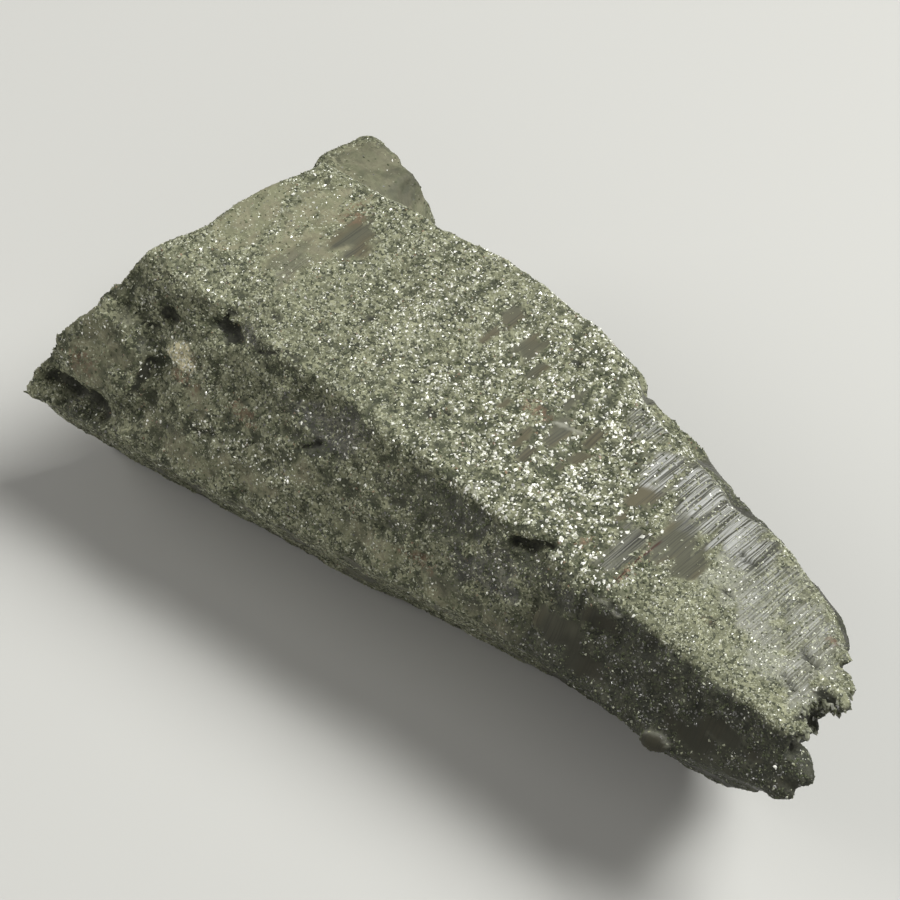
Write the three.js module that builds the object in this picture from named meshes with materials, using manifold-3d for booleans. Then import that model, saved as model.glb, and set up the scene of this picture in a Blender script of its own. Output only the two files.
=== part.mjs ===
// A quartz crystal of tapering habit, lying on one of its six long faces.
//
// The crystal is a six-sided prism that narrows from its broken base, at -X, to a ragged end of small crystal
// points, at +X. Its long axis is along X and the face it lies on is at Z = 0. Lengths are in millimetres.
//
// The body is a loft between the six long edges. Neighbouring faces meet at 120 degrees, so two edges and the
// heights of the others give all six. Each face then takes the relief it grew with: steps across the axis,
// crust, hollows and lumps. The side crystal and the points of the end are solids of their own, joined to
// the body.

import * as THREE from "three";
import { ImprovedNoise } from "three/addons/math/ImprovedNoise.js";
import { mergeVertices } from "three/addons/utils/BufferGeometryUtils.js";
import Module from "manifold-3d";

// ---------------------------------------------------------------- driving dimensions

const BASE_HEIGHT = 21.4; // height of the upper face where the ridge starts
const UPPER_FALL = 0.0787; // the upper face falls this much for each millimetre along X
const FACE_SLOPE = Math.tan(Math.PI / 3); // the side faces stand at 60 degrees to the upper face and the sole

// Each list gives a size along the axis as [x, size].
const RIDGE_Y = [[-26, -7.2], [-14, -6.8], [3, -6.0], [14, -5.6], [30, -5.1]];
const SHOULDER_Y = [
  [-24, 6.9], [-14, 8.5], [-7, 9.7], [-1, 9.8], [3.2, 8.7], [5.5, 7.2],
  [10, 6.7], [15, 5.4], [19, 5.4], [24, 3.8], [28, 1.2],
];
const FRONT_DROP = [
  [-31, 12.8], [-22, 11.4], [-10, 9.5], [3, 7.2], [15, 5.7], [21, 5.8], [26, 4.7], [31, 3.1],
];
const BACK_DROP = [[-28, 9.6], [-5, 7.8], [10, 5.4], [20, 4.0], [28, 2.4]];
const SOLE_END = 15; // where the sole stops and the slanting end face starts to rise
const END_SLOPE = Math.tan((35 * Math.PI) / 180);
const SOLE_BLEND = 1.6; // length over which the sole turns into the end face

// Where each long edge starts at the broken base and stops at the end.
const REACH = {
  ridge: [-25.7, 29.4],
  shoulder: [-23.6, 27.0],
  back: [-26.4, 26.4],
  soleBack: [-27.6, 24.6],
  soleFront: [-29.6, 26.2],
  front: [-31.0, 29.8],
};

// The six faces, in order round the crystal, each from one edge to the next, with its columns of points.
const FACES = [
  { name: "upper", from: "ridge", to: "shoulder", columns: 15 },
  { name: "upperBack", from: "shoulder", to: "back", columns: 7 },
  { name: "lowerBack", from: "back", to: "soleBack", columns: 7 },
  { name: "sole", from: "soleBack", to: "soleFront", columns: 4 },
  { name: "lowerFront", from: "soleFront", to: "front", columns: 7 },
  { name: "upperFront", from: "front", to: "ridge", columns: 13 },
];
const STATIONS = 62; // sections along the axis
const CAP_RINGS = 7;

// Relief: the height of each kind, and the size of its cells.
const CRUST = { height: 0.2, cell: 1.5 };
const SWELL = { height: 0.3, cell: 7 };
const STEPS = { height: 0.16, cell: 2.1 };
const EDGE_CHIPS = { height: 0.25, cell: 3.2 };
const FRACTURE = { height: 1.8, cell: 7 }; // of the broken base
const RIM_SHARE = 0.25; // the run of the broken base at its rim, as a share of the run at its middle
// Ledges left on the broken base: each steps in past a line across the section.
const LEDGES = [
  { across: [0.8, -0.6], past: -1.5, height: 1.4 },
  { across: [-0.35, -0.94], past: -5.5, height: 1.1 },
  { across: [0.95, 0.3], past: 9.5, height: 1.2 },
  { across: [-0.9, 0.45], past: 9.6, height: 0.8 },
];
const LEDGE_RISE = 0.9; // width over which a ledge steps
const BASE_SWELL = { at: [-13, 13], radius: 7.5, height: 1.1 }; // the base swells out here, at this Y and Z
const END_PITS = { height: 0.8, cell: 3.2 }; // of the end, between its points
const LEAST_CLEARANCE = 0.15; // nothing but the sole comes closer than this to the surface below
const RIM_FADE = 4; // length over which the run of either end fades into the faces

// Hollows (negative depth) and lumps (positive) on the faces.
const MARKS = [
  { at: [-17.8, -7.0, 20.4], radius: 1.5, depth: -1.2 }, // hole in the ridge near the base
  { at: [-9.5, -7.6, 18.6], radius: 2.2, depth: -0.9 }, // bite out of the ridge
  { at: [-22.6, -8.4, 18.4], radius: 0.8, depth: -0.9 }, // pit above the plate
  { at: [-25.4, -13.1, 11.1], radius: 1.1, depth: -1.1 }, // hollow under the plate, in two parts
  { at: [-27.8, -13.6, 10.8], radius: 1.1, depth: -1.1 },
  { at: [8.4, -6.2, 18.3], radius: 1.0, depth: -0.9 }, // slot under the ledge
  { at: [7.6, -5.4, 19.0], radius: 1.3, depth: 0.6 }, // the ledge
  { at: [3.4, -6.2, 19.3], radius: 1.0, depth: 0.4 }, // rim left of the ledge
  { at: [12.3, -6.9, 16.8], radius: 1.3, depth: 0.5 }, // lump on the front face
  { at: [21.3, -8.9, 12.2], radius: 1.2, depth: 0.6 }, // lens on the front edge
  { at: [4.2, 1.9, 19.2], radius: 1.5, depth: -0.5 }, // lens-shaped hollow in the upper face
  { at: [3.7, 8.8, 19.1], radius: 0.9, depth: -0.6 }, // notch in the shoulder
  { at: [-0.8, 9.7, 19.4], radius: 1.2, depth: 0.3 }, // lump on the shoulder
  { at: [29.2, -1.5, 16.9], radius: 1.1, depth: -1.0 }, // two hollows at the end
  { at: [28.9, -3.6, 17.0], radius: 0.7, depth: -0.8 },
  { at: [-6.0, 13.6, 12.6], radius: 2.4, depth: -0.9 }, // bite out of the back edge
  { at: [3.4, 11.5, 14.2], radius: 2.2, depth: -0.9 }, // hollows and lumps of the upper back face
  { at: [7.2, 9.9, 14.2], radius: 2.0, depth: 0.8 },
  { at: [12.0, 8.0, 13.5], radius: 2.0, depth: 0.2 },
  { at: [15.3, 7.6, 14.2], radius: 1.8, depth: 0.6 },
  { at: [20.3, 6.6, 14.6], radius: 1.8, depth: -0.5 },
  { at: [-14.0, 10.0, 6.0], radius: 3.0, depth: -0.8 }, // shallow hollow in the lower back face
];

// The rounded plate at the front of the base: a raised oval, with a groove round it.
const PLATE = { at: [-26.4, -11.4, 14.2], half: [4.4, 4.0, 3.6], height: 0.7 };
const PLATE_GROOVE = { at: 1.12, width: 0.13, depth: 0.7 };

// The side crystal: a stub that grew along the main one, on the back of the base.
const SIDE_CRYSTAL = {
  at: [-23.1, 10.7, 12.1],
  size: [6.1, 6.4, 6.7],
  turn: [0.25, -0.12, -0.12],
  detail: 4,
};
const SIDE_FLAT = 0.68; // its sides and ends are cut this far out, as a share of its half width
const SIDE_BROKEN = 0.6; // and its broken end this far

// The larger points of the end. Each leans by its own angles from the axis.
const POINTS = [
  { tip: [28.3, 1.9, 16.7], radius: 0.6, length: 3.0, lean: [0.2, 0.05] },
  { tip: [30.0, 0.3, 16.4], radius: 1.0, length: 4.0, lean: [0.1, 0.05] },
  { tip: [30.8, -1.2, 16.9], radius: 0.9, length: 4.0, lean: [-0.05, 0.08] },
  { tip: [30.0, -4.3, 16.6], radius: 0.7, length: 3.0, lean: [-0.1, 0.1] },
  { tip: [31.5, -5.3, 13.9], radius: 1.5, length: 5.0, lean: [-0.1, 0.05] },
  { tip: [31.0, -6.5, 13.1], radius: 1.0, length: 4.0, lean: [-0.12, 0.05] },
  { tip: [29.0, -2.9, 13.6], radius: 1.3, length: 4.5, lean: [0, -0.15] },
  { tip: [28.4, -0.4, 13.9], radius: 1.1, length: 4.0, lean: [0.1, -0.15] },
];
const MORE_POINTS = 13; // the rest of the end, below them
const POINT_STEEPNESS = 1.1; // a point is this much longer than its radius

const CRYSTAL_COLOUR = 0x8a8a78;
const CRYSTAL_ROUGHNESS = 0.55;

// ---------------------------------------------------------------- small tools

const perlin = new ImprovedNoise();

function noise(x, y, z, cell, seed) {
  return perlin.noise(x / cell + seed, y / cell + seed * 0.37, z / cell - seed * 0.61);
}

// Rough relief: two sizes of noise, the finer half as high.
function rough(p, kind, seed) {
  const broad = noise(p.x, p.y, p.z, kind.cell, seed);
  const fine = noise(p.x, p.y, p.z, kind.cell / 2, seed + 7.3);
  return kind.height * (broad + fine / 2);
}

function curveThrough(points) {
  const places = points.map((point) => point[0]);
  const sizes = points.map((point) => point[1]);
  const spline = new THREE.CubicInterpolant(places, sizes, 1);
  return (x) => spline.evaluate(x)[0];
}

function smoothRise(value, low, high) {
  return THREE.MathUtils.smoothstep(value, low, high);
}

// ---------------------------------------------------------------- the six long edges

const ridgeY = curveThrough(RIDGE_Y);
const shoulderY = curveThrough(SHOULDER_Y);
const frontDrop = curveThrough(FRONT_DROP);
const backDrop = curveThrough(BACK_DROP);

function upperZ(x) {
  return BASE_HEIGHT - UPPER_FALL * (x - REACH.ridge[0]);
}

// The sole is level, then rises as the slanting end face, with a short curve between.
function soleZ(x) {
  const past = x - SOLE_END;
  if (past < 0) return 0;
  if (past < SOLE_BLEND) return (END_SLOPE * past * past) / (2 * SOLE_BLEND);
  return END_SLOPE * (past - SOLE_BLEND / 2);
}

const EDGES = {
  ridge: (x) => new THREE.Vector3(x, ridgeY(x), upperZ(x)),
  shoulder: (x) => new THREE.Vector3(x, shoulderY(x), upperZ(x)),
  front: (x) => new THREE.Vector3(x, ridgeY(x) - frontDrop(x) / FACE_SLOPE, upperZ(x) - frontDrop(x)),
  back: (x) => new THREE.Vector3(x, shoulderY(x) + backDrop(x) / FACE_SLOPE, upperZ(x) - backDrop(x)),
  soleFront: (x) => inwardFrom(EDGES.front(x), 1),
  soleBack: (x) => inwardFrom(EDGES.back(x), -1),
};

// The point on the sole under an edge, one 60-degree face further in.
function inwardFrom(edge, side) {
  const z = soleZ(edge.x);
  return new THREE.Vector3(edge.x, edge.y + (side * (edge.z - z)) / FACE_SLOPE, z);
}

function edgePoint(name, along) {
  const [start, stop] = REACH[name];
  return EDGES[name](THREE.MathUtils.lerp(start, stop, along));
}

// ---------------------------------------------------------------- relief

// Growth steps run straight across the axis: each has a level tread and a short rise.
function growthSteps(p) {
  const place = p.x / STEPS.cell + 0.35 * noise(p.x, p.y, 0, 6, 31);
  const tread = Math.floor(place);
  const rise = smoothRise(place - tread, 0.7, 1);
  const level = (n) => perlin.noise(n * 1.7 + 0.5, 4.2, 0.8);
  return STEPS.height * 2 * THREE.MathUtils.lerp(level(tread), level(tread + 1), rise);
}

function marks(p) {
  let height = 0;
  for (const mark of MARKS) {
    const away = p.distanceTo(new THREE.Vector3(...mark.at)) / mark.radius;
    height += mark.depth * Math.exp(-away * away);
  }
  return height;
}

function plate(p) {
  const from = p.clone().sub(new THREE.Vector3(...PLATE.at));
  const away = from.divide(new THREE.Vector3(...PLATE.half)).length();
  const groove = (away - PLATE_GROOVE.at) / PLATE_GROOVE.width;
  return PLATE.height * (1 - smoothRise(away, 0.8, 1)) - PLATE_GROOVE.depth * Math.exp(-groove * groove);
}

function relief(p, face) {
  if (face === "sole" && soleZ(p.x) === 0) return 0;
  const steps = face === "upper" ? 1 : 0.6;
  const raised = face === "upperFront" ? plate(p) : 0;
  return rough(p, CRUST, 3) + rough(p, SWELL, 11) + steps * growthSteps(p) + marks(p) + raised;
}

// ---------------------------------------------------------------- the body

// One section: the points of all six faces at this share of the length, with the way out of each.
function section(along) {
  const points = [];
  for (const [index, face] of FACES.entries()) {
    const start = edgePoint(face.from, along);
    const stop = edgePoint(face.to, along);
    const out = outward(face, along);
    const before = FACES[(index + FACES.length - 1) % FACES.length];
    for (let column = 0; column < face.columns; column++) {
      const at = start.clone().lerp(stop, column / face.columns);
      at.x += endRun(at, along);
      const way = out.clone();
      if (column === 0) way.add(outward(before, along)).normalize();
      points.push({ at, way, face: face.name, onEdge: column === 0 });
    }
  }
  return points;
}

// How far the broken base and the end run in and out along X, at this place of the section. The last value
// says how far in from the rim it is, from 0 at the rim to 1 at the middle.
function baseRun(p, inside) {
  const share = THREE.MathUtils.lerp(RIM_SHARE, 1, smoothRise(inside, 0, 0.4));
  let run = rough(new THREE.Vector3(0, p.y, p.z), FRACTURE, 85.7);
  for (const { across, past, height } of LEDGES) {
    const place = p.y * across[0] + p.z * across[1];
    run += height * smoothRise(place, past, past + LEDGE_RISE);
  }
  const away = Math.hypot(p.y - BASE_SWELL.at[0], p.z - BASE_SWELL.at[1]) / BASE_SWELL.radius;
  return run * share - BASE_SWELL.height * Math.exp(-away * away);
}

function tipRun(p) {
  return rough(new THREE.Vector3(0, p.y, p.z), END_PITS, 97);
}

function endRun(p, along) {
  const whole = REACH.front[1] - REACH.front[0];
  const nearBase = Math.exp((-along * whole) / RIM_FADE);
  const nearTip = Math.exp(((along - 1) * whole) / RIM_FADE);
  return nearBase * baseRun(p, 0) + nearTip * tipRun(p);
}

function outward(face, along) {
  const step = 0.02;
  const near = Math.min(along, 1 - step);
  const across = edgePoint(face.to, along).sub(edgePoint(face.from, along));
  const lengthways = edgePoint(face.from, near + step).sub(edgePoint(face.from, near));
  return across.cross(lengthways).negate().normalize();
}

function raised({ at, way, face, onEdge }) {
  let height = relief(at, face);
  if (onEdge) height -= Math.abs(rough(at, EDGE_CHIPS, 23));
  const moved = at.clone().addScaledVector(way, height);
  moved.z = at.z === 0 ? 0 : Math.max(moved.z, LEAST_CLEARANCE);
  return moved;
}

// A cap closes one end: rings that shrink to the middle, each point run in or out as its place asks.
function capRings(rim, run) {
  const flat = rim.map((p) => new THREE.Vector3(p.x - run(p, 0), p.y, p.z));
  const middle = new THREE.Vector3();
  for (const p of flat) middle.addScaledVector(p, 1 / flat.length);
  const rings = [];
  for (let ring = 1; ring < CAP_RINGS; ring++) {
    const points = flat.map((p) => p.clone().lerp(middle, ring / CAP_RINGS));
    for (const p of points) p.x += run(p, ring / CAP_RINGS);
    rings.push(points);
  }
  middle.x += run(middle, 1);
  return { rings, middle };
}

function bodyGeometry() {
  const rows = [];
  for (let station = 0; station <= STATIONS; station++) {
    rows.push(section(station / STATIONS).map(raised));
  }
  const base = capRings(rows[0], baseRun);
  const end = capRings(rows[STATIONS], tipRun);
  const rings = [...base.rings.reverse(), ...rows, ...end.rings];
  const around = rows[0].length;
  const points = [base.middle, ...rings.flat(), end.middle];
  const triangles = [];
  const vertex = (ring, column) => 1 + ring * around + (column % around);
  const last = points.length - 1;
  for (let column = 0; column < around; column++) {
    triangles.push(0, vertex(0, column), vertex(0, column + 1));
    triangles.push(last, vertex(rings.length - 1, column + 1), vertex(rings.length - 1, column));
  }
  for (let ring = 0; ring < rings.length - 1; ring++) {
    for (let column = 0; column < around; column++) {
      const a = vertex(ring, column);
      const b = vertex(ring, column + 1);
      const c = vertex(ring + 1, column);
      const d = vertex(ring + 1, column + 1);
      triangles.push(a, c, b, b, c, d);
    }
  }
  const geometry = new THREE.BufferGeometry();
  const places = new Float32Array(points.flatMap((p) => [p.x, p.y, p.z]));
  geometry.setAttribute("position", new THREE.BufferAttribute(places, 3));
  geometry.setIndex(triangles);
  return geometry;
}

// ---------------------------------------------------------------- solids joined to the body

function closed(geometry) {
  const bare = geometry.clone();
  bare.deleteAttribute("normal");
  bare.deleteAttribute("uv");
  return mergeVertices(bare, 1e-4);
}

// A rounded, faceted lump: a fine ball stretched to its size, flattened on a few sides and roughened.
function lumpGeometry({ at, size, turn, detail }, flats) {
  const ball = closed(new THREE.IcosahedronGeometry(1, detail));
  const places = ball.getAttribute("position");
  const p = new THREE.Vector3();
  for (let i = 0; i < places.count; i++) {
    p.fromBufferAttribute(places, i);
    for (const [x, y, z, reach] of flats) {
      const way = new THREE.Vector3(x, y, z).normalize();
      const past = p.dot(way) - reach;
      if (past > 0) p.addScaledVector(way, -past);
    }
    p.addScaledVector(p.clone().normalize(), rough(p.clone().multiplyScalar(5), CRUST, 71) * 0.2);
    places.setXYZ(i, p.x, p.y, p.z);
  }
  ball.scale(...size);
  ball.rotateY(turn[1]).rotateX(turn[0]).rotateZ(turn[2]);
  ball.translate(...at);
  return ball;
}

// A small six-sided crystal: a short prism with a six-sided point, its tip where it is asked for.
function pointGeometry({ tip, radius, length, lean }) {
  const point = radius * POINT_STEEPNESS;
  const profile = [
    new THREE.Vector2(0, -length),
    new THREE.Vector2(radius * 1.1, -length),
    new THREE.Vector2(radius, -point),
    new THREE.Vector2(radius * 0.35, -point * 0.25),
    new THREE.Vector2(0, 0),
  ];
  const crystal = closed(new THREE.LatheGeometry(profile, 6));
  crystal.rotateZ(-Math.PI / 2);
  crystal.rotateX(radius * 3);
  crystal.rotateZ(lean[0]).rotateY(-lean[1]);
  crystal.translate(...tip);
  return crystal;
}

// More points cover the end, a golden angle apart.
function morePoints() {
  const middle = [28.2, -1.7, 11.8];
  const spread = [3.9, 4.0];
  const overhang = 0.42; // the end leans back this much for each millimetre down
  const recede = 0.35; // and this much for each millimetre towards the back
  const golden = Math.PI * (3 - Math.sqrt(5));
  const found = [];
  for (let i = 0; i < MORE_POINTS; i++) {
    const away = Math.sqrt((i + 0.5) / MORE_POINTS);
    const y = middle[1] + spread[0] * away * Math.cos(i * golden);
    const z = middle[2] + spread[1] * away * Math.sin(i * golden);
    const drawnBack = recede * Math.max(y - middle[1], 0) - overhang * (z - middle[2]);
    const x = middle[0] - drawnBack + 0.5 * perlin.noise(y * 1.3, z * 1.3, 5);
    const radius = 1.25 + 0.6 * perlin.noise(i * 1.37, 2.5, 8.1);
    const lean = [(y - middle[1]) * 0.05, (z - middle[2]) * 0.04 - 0.08];
    found.push({ tip: [x, y, z], radius, length: 4, lean });
  }
  return found;
}

// ---------------------------------------------------------------- joining

const wasm = await Module();
wasm.setup();

function solid(geometry) {
  const numProp = 3;
  const vertProperties = geometry.getAttribute("position").array;
  const triVerts = new Uint32Array(geometry.index.array);
  return new wasm.Manifold(new wasm.Mesh({ numProp, vertProperties, triVerts }));
}

function geometryOf(manifold) {
  const mesh = manifold.getMesh();
  const geometry = new THREE.BufferGeometry();
  geometry.setAttribute("position", new THREE.BufferAttribute(mesh.vertProperties, 3));
  geometry.setIndex(new THREE.BufferAttribute(mesh.triVerts, 1));
  geometry.computeVertexNormals();
  return geometry;
}

function crystalGeometry() {
  const sideFlats = [[-1, -0.15, 0.1, SIDE_BROKEN]];
  for (let side = 0; side < 6; side++) {
    const angle = (side * Math.PI) / 3;
    sideFlats.push([0, Math.cos(angle), Math.sin(angle), SIDE_FLAT]);
    sideFlats.push([1, Math.cos(angle), Math.sin(angle), SIDE_FLAT]);
  }
  let whole = solid(bodyGeometry());
  whole = whole.add(solid(lumpGeometry(SIDE_CRYSTAL, sideFlats)));
  for (const point of [...POINTS, ...morePoints()]) {
    whole = whole.add(solid(pointGeometry(point)));
  }
  return geometryOf(whole);
}

// Puts the origin under the middle of the crystal, on the face it lies on.
function centred(geometry) {
  geometry.computeBoundingBox();
  const middle = geometry.boundingBox.getCenter(new THREE.Vector3());
  return geometry.translate(-middle.x, -middle.y, 0);
}

// ---------------------------------------------------------------- the part

const quartz = new THREE.MeshStandardMaterial({
  color: CRYSTAL_COLOUR,
  roughness: CRYSTAL_ROUGHNESS,
  metalness: 0,
});
const crystal = new THREE.Mesh(centred(crystalGeometry()), quartz);
crystal.name = "quartz_crystal";

const part = new THREE.Group();
part.name = "quartz_crystal_part";
part.add(crystal);

export default part;
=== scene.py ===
import math

import bmesh
import bpy
import numpy as np
from mathutils import Matrix, Vector, noise


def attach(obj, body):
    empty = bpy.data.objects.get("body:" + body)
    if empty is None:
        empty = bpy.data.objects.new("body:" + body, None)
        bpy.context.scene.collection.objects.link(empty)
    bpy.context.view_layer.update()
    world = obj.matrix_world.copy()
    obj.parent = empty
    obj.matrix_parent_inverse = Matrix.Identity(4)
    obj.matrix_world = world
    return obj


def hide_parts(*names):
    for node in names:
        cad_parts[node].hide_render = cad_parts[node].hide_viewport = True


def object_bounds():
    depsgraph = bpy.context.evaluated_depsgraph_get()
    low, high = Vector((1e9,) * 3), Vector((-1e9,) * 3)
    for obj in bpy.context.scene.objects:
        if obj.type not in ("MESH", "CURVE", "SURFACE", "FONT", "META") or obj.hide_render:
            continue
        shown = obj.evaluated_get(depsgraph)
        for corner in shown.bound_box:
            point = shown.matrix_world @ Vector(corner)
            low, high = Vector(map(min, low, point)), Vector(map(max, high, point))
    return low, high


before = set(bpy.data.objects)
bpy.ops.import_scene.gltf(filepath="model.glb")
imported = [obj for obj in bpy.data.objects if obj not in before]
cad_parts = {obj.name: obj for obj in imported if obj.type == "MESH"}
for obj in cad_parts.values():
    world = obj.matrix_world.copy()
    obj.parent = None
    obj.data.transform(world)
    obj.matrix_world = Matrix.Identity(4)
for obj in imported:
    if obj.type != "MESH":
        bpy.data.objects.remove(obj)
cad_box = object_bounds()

# ---- The crystal ----
# One crystal of quartz, snapped off its bed at the wide end and drawn out to a ragged tip.
# It grew in steps that left lines across its faces. A green-grey skin of chlorite settled on
# it while it grew, and thin clean patches of glassy quartz show between the crusted parts.

MM = 0.001
SKIN_VOXEL = 0.25 * MM
SAME_PLACE = 0.0001 * MM
WEAR_ROUNDS = 4
WEAR, LAST_WEAR = 0.5, 0.25
TIP_FROM, TIP_TO = 26.0, 29.0

# Places are measured in mm from the crystal's long axis, which passes beside the origin.
AXIS = np.array((0.1505, 0.6898, 0.0))
# The upper face is nearly level, and falls a little towards the tip.
UPPER_AT_MIDDLE, UPPER_FALL = 19.44, 0.0787
UPPER_FACING = np.array((0.08, 0.0, 0.997))
FRONT_FACING = np.array((0.05, -0.87, 0.49))
# A streak that begins higher and farther back than this lies on the upper face.
UPPER_LOWEST, UPPER_FOREMOST = 17.1, -5
UPPER_PATCH_HALF = 1.2  # half the height of a patch there

# Clean windows on the upper face: middle x, middle y, half width along the crystal and
# half width across it.
UPPER_WINDOWS = (
    (-17.0, 3.8, 1.0, 1.5), (-16.1, 3.2, 0.8, 1.2), (-5.2, 6.3, 0.5, 0.8), (-5.1, 4.0, 0.3, 0.9),
    (-2.7, 5.6, 0.7, 1.2), (-0.95, 4.2, 0.4, 0.8), (2.4, 3.9, 0.3, 1.0), (-0.6, 0.7, 0.2, 0.6),
    (3.45, 1.5, 0.6, 1.25), (2.3, -0.7, 0.35, 0.8), (3.3, -1.3, 0.35, 0.7), (5.4, -0.3, 0.3, 0.5),
    (5.6, 0.9, 0.5, 0.8), (5.3, 3.0, 0.35, 0.9), (10.9, -0.4, 0.3, 0.5), (10.9, 1.8, 0.7, 1.1),
    (12.9, -1.8, 0.8, 1.6), (14.2, 1.0, 0.8, 1.9), (15.3, 0.5, 1.0, 1.8), (16.4, 0.0, 1.0, 1.1),
)
# Patches where the growth lines shine through a thin or broken crust, given in the same way: clear ones
# first, then faint ones, and the parts of them where the lines get painted highlights.
LINED_PATCHES = (
    (10.3, 4.4, 1.2, 1.6), (12.6, 5.6, 1.8, 1.6), (13.9, 4.2, 1.9, 2.2), (16.4, 4.2, 2.2, 2.2),
    (18.6, 3.4, 1.6, 1.7), (12.7, -2.8, 1.1, 2.3),
)
FAINTLY_LINED = (
    (7.5, 6.2, 1.5, 1.5), (21.8, 1.9, 3.0, 2.6), (25.3, 0.9, 2.3, 2.4), (27.1, -1.8, 1.3, 1.3),
    (22.0, -0.4, 1.6, 1.0), (-18.6, -0.8, 1.0, 2.0),
)
BRIGHT_PATCHES = (
    (12.9, 4.6, 1.6, 1.9), (16.2, 3.9, 2.2, 2.0), (18.6, 3.1, 1.4, 1.4), (10.9, 3.9, 0.8, 0.9),
    (26.9, -1.7, 1.1, 0.9), (20.9, 0.6, 0.5, 0.6), (22.6, 0.4, 0.4, 0.5), (14.3, 3.7, 1.0, 1.0),
    (21.0, 2.9, 2.6, 0.9), (24.6, 1.9, 1.8, 1.0), (10.2, 3.4, 1.2, 1.0), (7.2, 6.0, 1.6, 1.2),
    (10.3, 4.6, 1.0, 1.0), (15.0, 5.2, 1.2, 0.8), (19.6, 2.3, 1.0, 0.8),
)
# Flakes of bare quartz lie loose in the crust beside the lined part.
SILVERY = (
    (18.9, 0.9, 1.6, 1.5), (17.8, 1.7, 0.9, 0.9), (20.4, 0.2, 1.3, 1.0), (22.6, -0.6, 1.2, 1.2),
    (24.6, -1.6, 1.6, 1.4), (26.6, -1.9, 1.3, 1.2), (24.2, 1.5, 1.6, 1.0), (26.9, -0.4, 1.2, 1.0),
    (28.2, -2.4, 1.0, 0.9),
)
# Parts where the skin is fine and soft, with few grains.
SOFT_PATCHES = (
    (-23.2, 0.4, 1.8, 3.2), (-20.6, 4.0, 1.8, 2.6), (-19.0, 0.2, 1.6, 2.8), (-16.6, 3.2, 1.4, 2.0),
)
# Soft parts and windows on the other faces: middle x, y, z, then half widths x, y and z.
SOFT_SIDES = (
    (-26.0, -12.2, 12.8, 1.6, 1.4, 1.3), (-26.4, -11.3, 15.4, 2.6, 1.5, 2.0),
    (-18.4, -10.6, 14.7, 1.0, 1.0, 1.2), (-21.1, -12.0, 11.9, 1.4, 0.9, 0.8),
    (-17.6, -12.2, 11.6, 2.4, 0.9, 0.9), (-12.3, -11.3, 12.4, 2.2, 0.9, 0.9),
    (-9.1, -9.8, 14.7, 1.2, 0.8, 0.9), (-4.1, -10.2, 13.0, 2.0, 0.9, 0.7),
    (-1.2, -10.1, 13.1, 1.8, 0.9, 0.8), (3.5, -9.7, 13.0, 2.0, 0.8, 1.0),
    (8.4, -9.2, 12.7, 2.2, 0.8, 1.0), (24.4, -7.9, 12.7, 1.4, 0.7, 0.4),
    (26.1, -7.9, 12.6, 1.4, 0.7, 0.4), (27.2, -5.9, 9.6, 1.6, 0.8, 1.0),
)
FRONT_WINDOWS = (
    (12.2, -7.8, 14.7, 2.0, 1.0, 1.1), (14.4, -6.7, 16.4, 1.2, 0.8, 0.7),
    (14.5, -8.3, 13.6, 1.8, 0.9, 0.7), (23.4, -7.6, 13.6, 2.2, 1.2, 0.7),
    (25.3, -6.8, 14.6, 2.0, 1.0, 0.6), (29.4, -6.1, 13.7, 1.0, 0.9, 0.6),
)
# The side crystal at the back of the base, which is soft nearly all over.
SIDE_CRYSTAL = (-23.0, 11.6, 12.5, 5.0, 3.6, 5.4)
# Stains and painted shade, given like the soft sides: rusty stains first, then pale ones, dull grey
# ones, and dark patches that are partly stains and partly painted shade.
RUSTY_STAINS = (
    (26.4, 2.0, 17.4, 0.4, 0.35, 0.8), (20.0, -2.6, 17.8, 0.5, 0.3, 0.8),
    (-27.1, -12.5, 13.5, 1.1, 1.0, 0.8), (-19.7, -10.0, 15.5, 1.4, 0.9, 0.4),
    (-14.4, -9.5, 15.6, 1.3, 0.8, 0.5), (-19.6, -9.2, 16.8, 0.25, 0.3, 0.3),
    (0.9, -9.5, 13.8, 1.6, 0.8, 0.4), (1.5, 1.8, 19.3, 1.2, 0.6, 0.9),
    (-18.6, 5.2, 20.7, 0.8, 0.9, 0.8), (10.7, -3.7, 18.8, 0.4, 0.5, 0.8),
)
PALE_STAINS = (
    (-20.7, -9.2, 16.9, 0.8, 0.7, 0.6), (-20.2, -9.3, 16.3, 0.9, 0.7, 0.5),
    (-21.4, -9.8, 16.5, 0.7, 0.7, 0.7),
)
# Dull grey patches just below the ridge: partly a grey mineral, partly painted shade under the ridge.
GREY_STAINS_AND_RIDGE_SHADE = (
    (-16.4, -6.7, 19.9, 1.3, 0.7, 0.7), (-10.4, -7.4, 17.6, 1.9, 0.9, 1.1),
    (-7.6, -7.2, 18.2, 2.2, 0.9, 1.2), (-8.3, -7.8, 17.2, 2.0, 0.9, 0.9),
    (6.2, -7.4, 16.4, 1.5, 0.8, 1.0), (7.2, -8.0, 15.1, 1.6, 0.8, 0.9),
    (5.0, -8.3, 15.2, 1.4, 0.8, 0.9), (12.0, -7.1, 16.8, 1.2, 0.8, 0.8),
    (3.4, -6.9, 17.6, 2.2, 0.9, 1.0),
)
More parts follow.
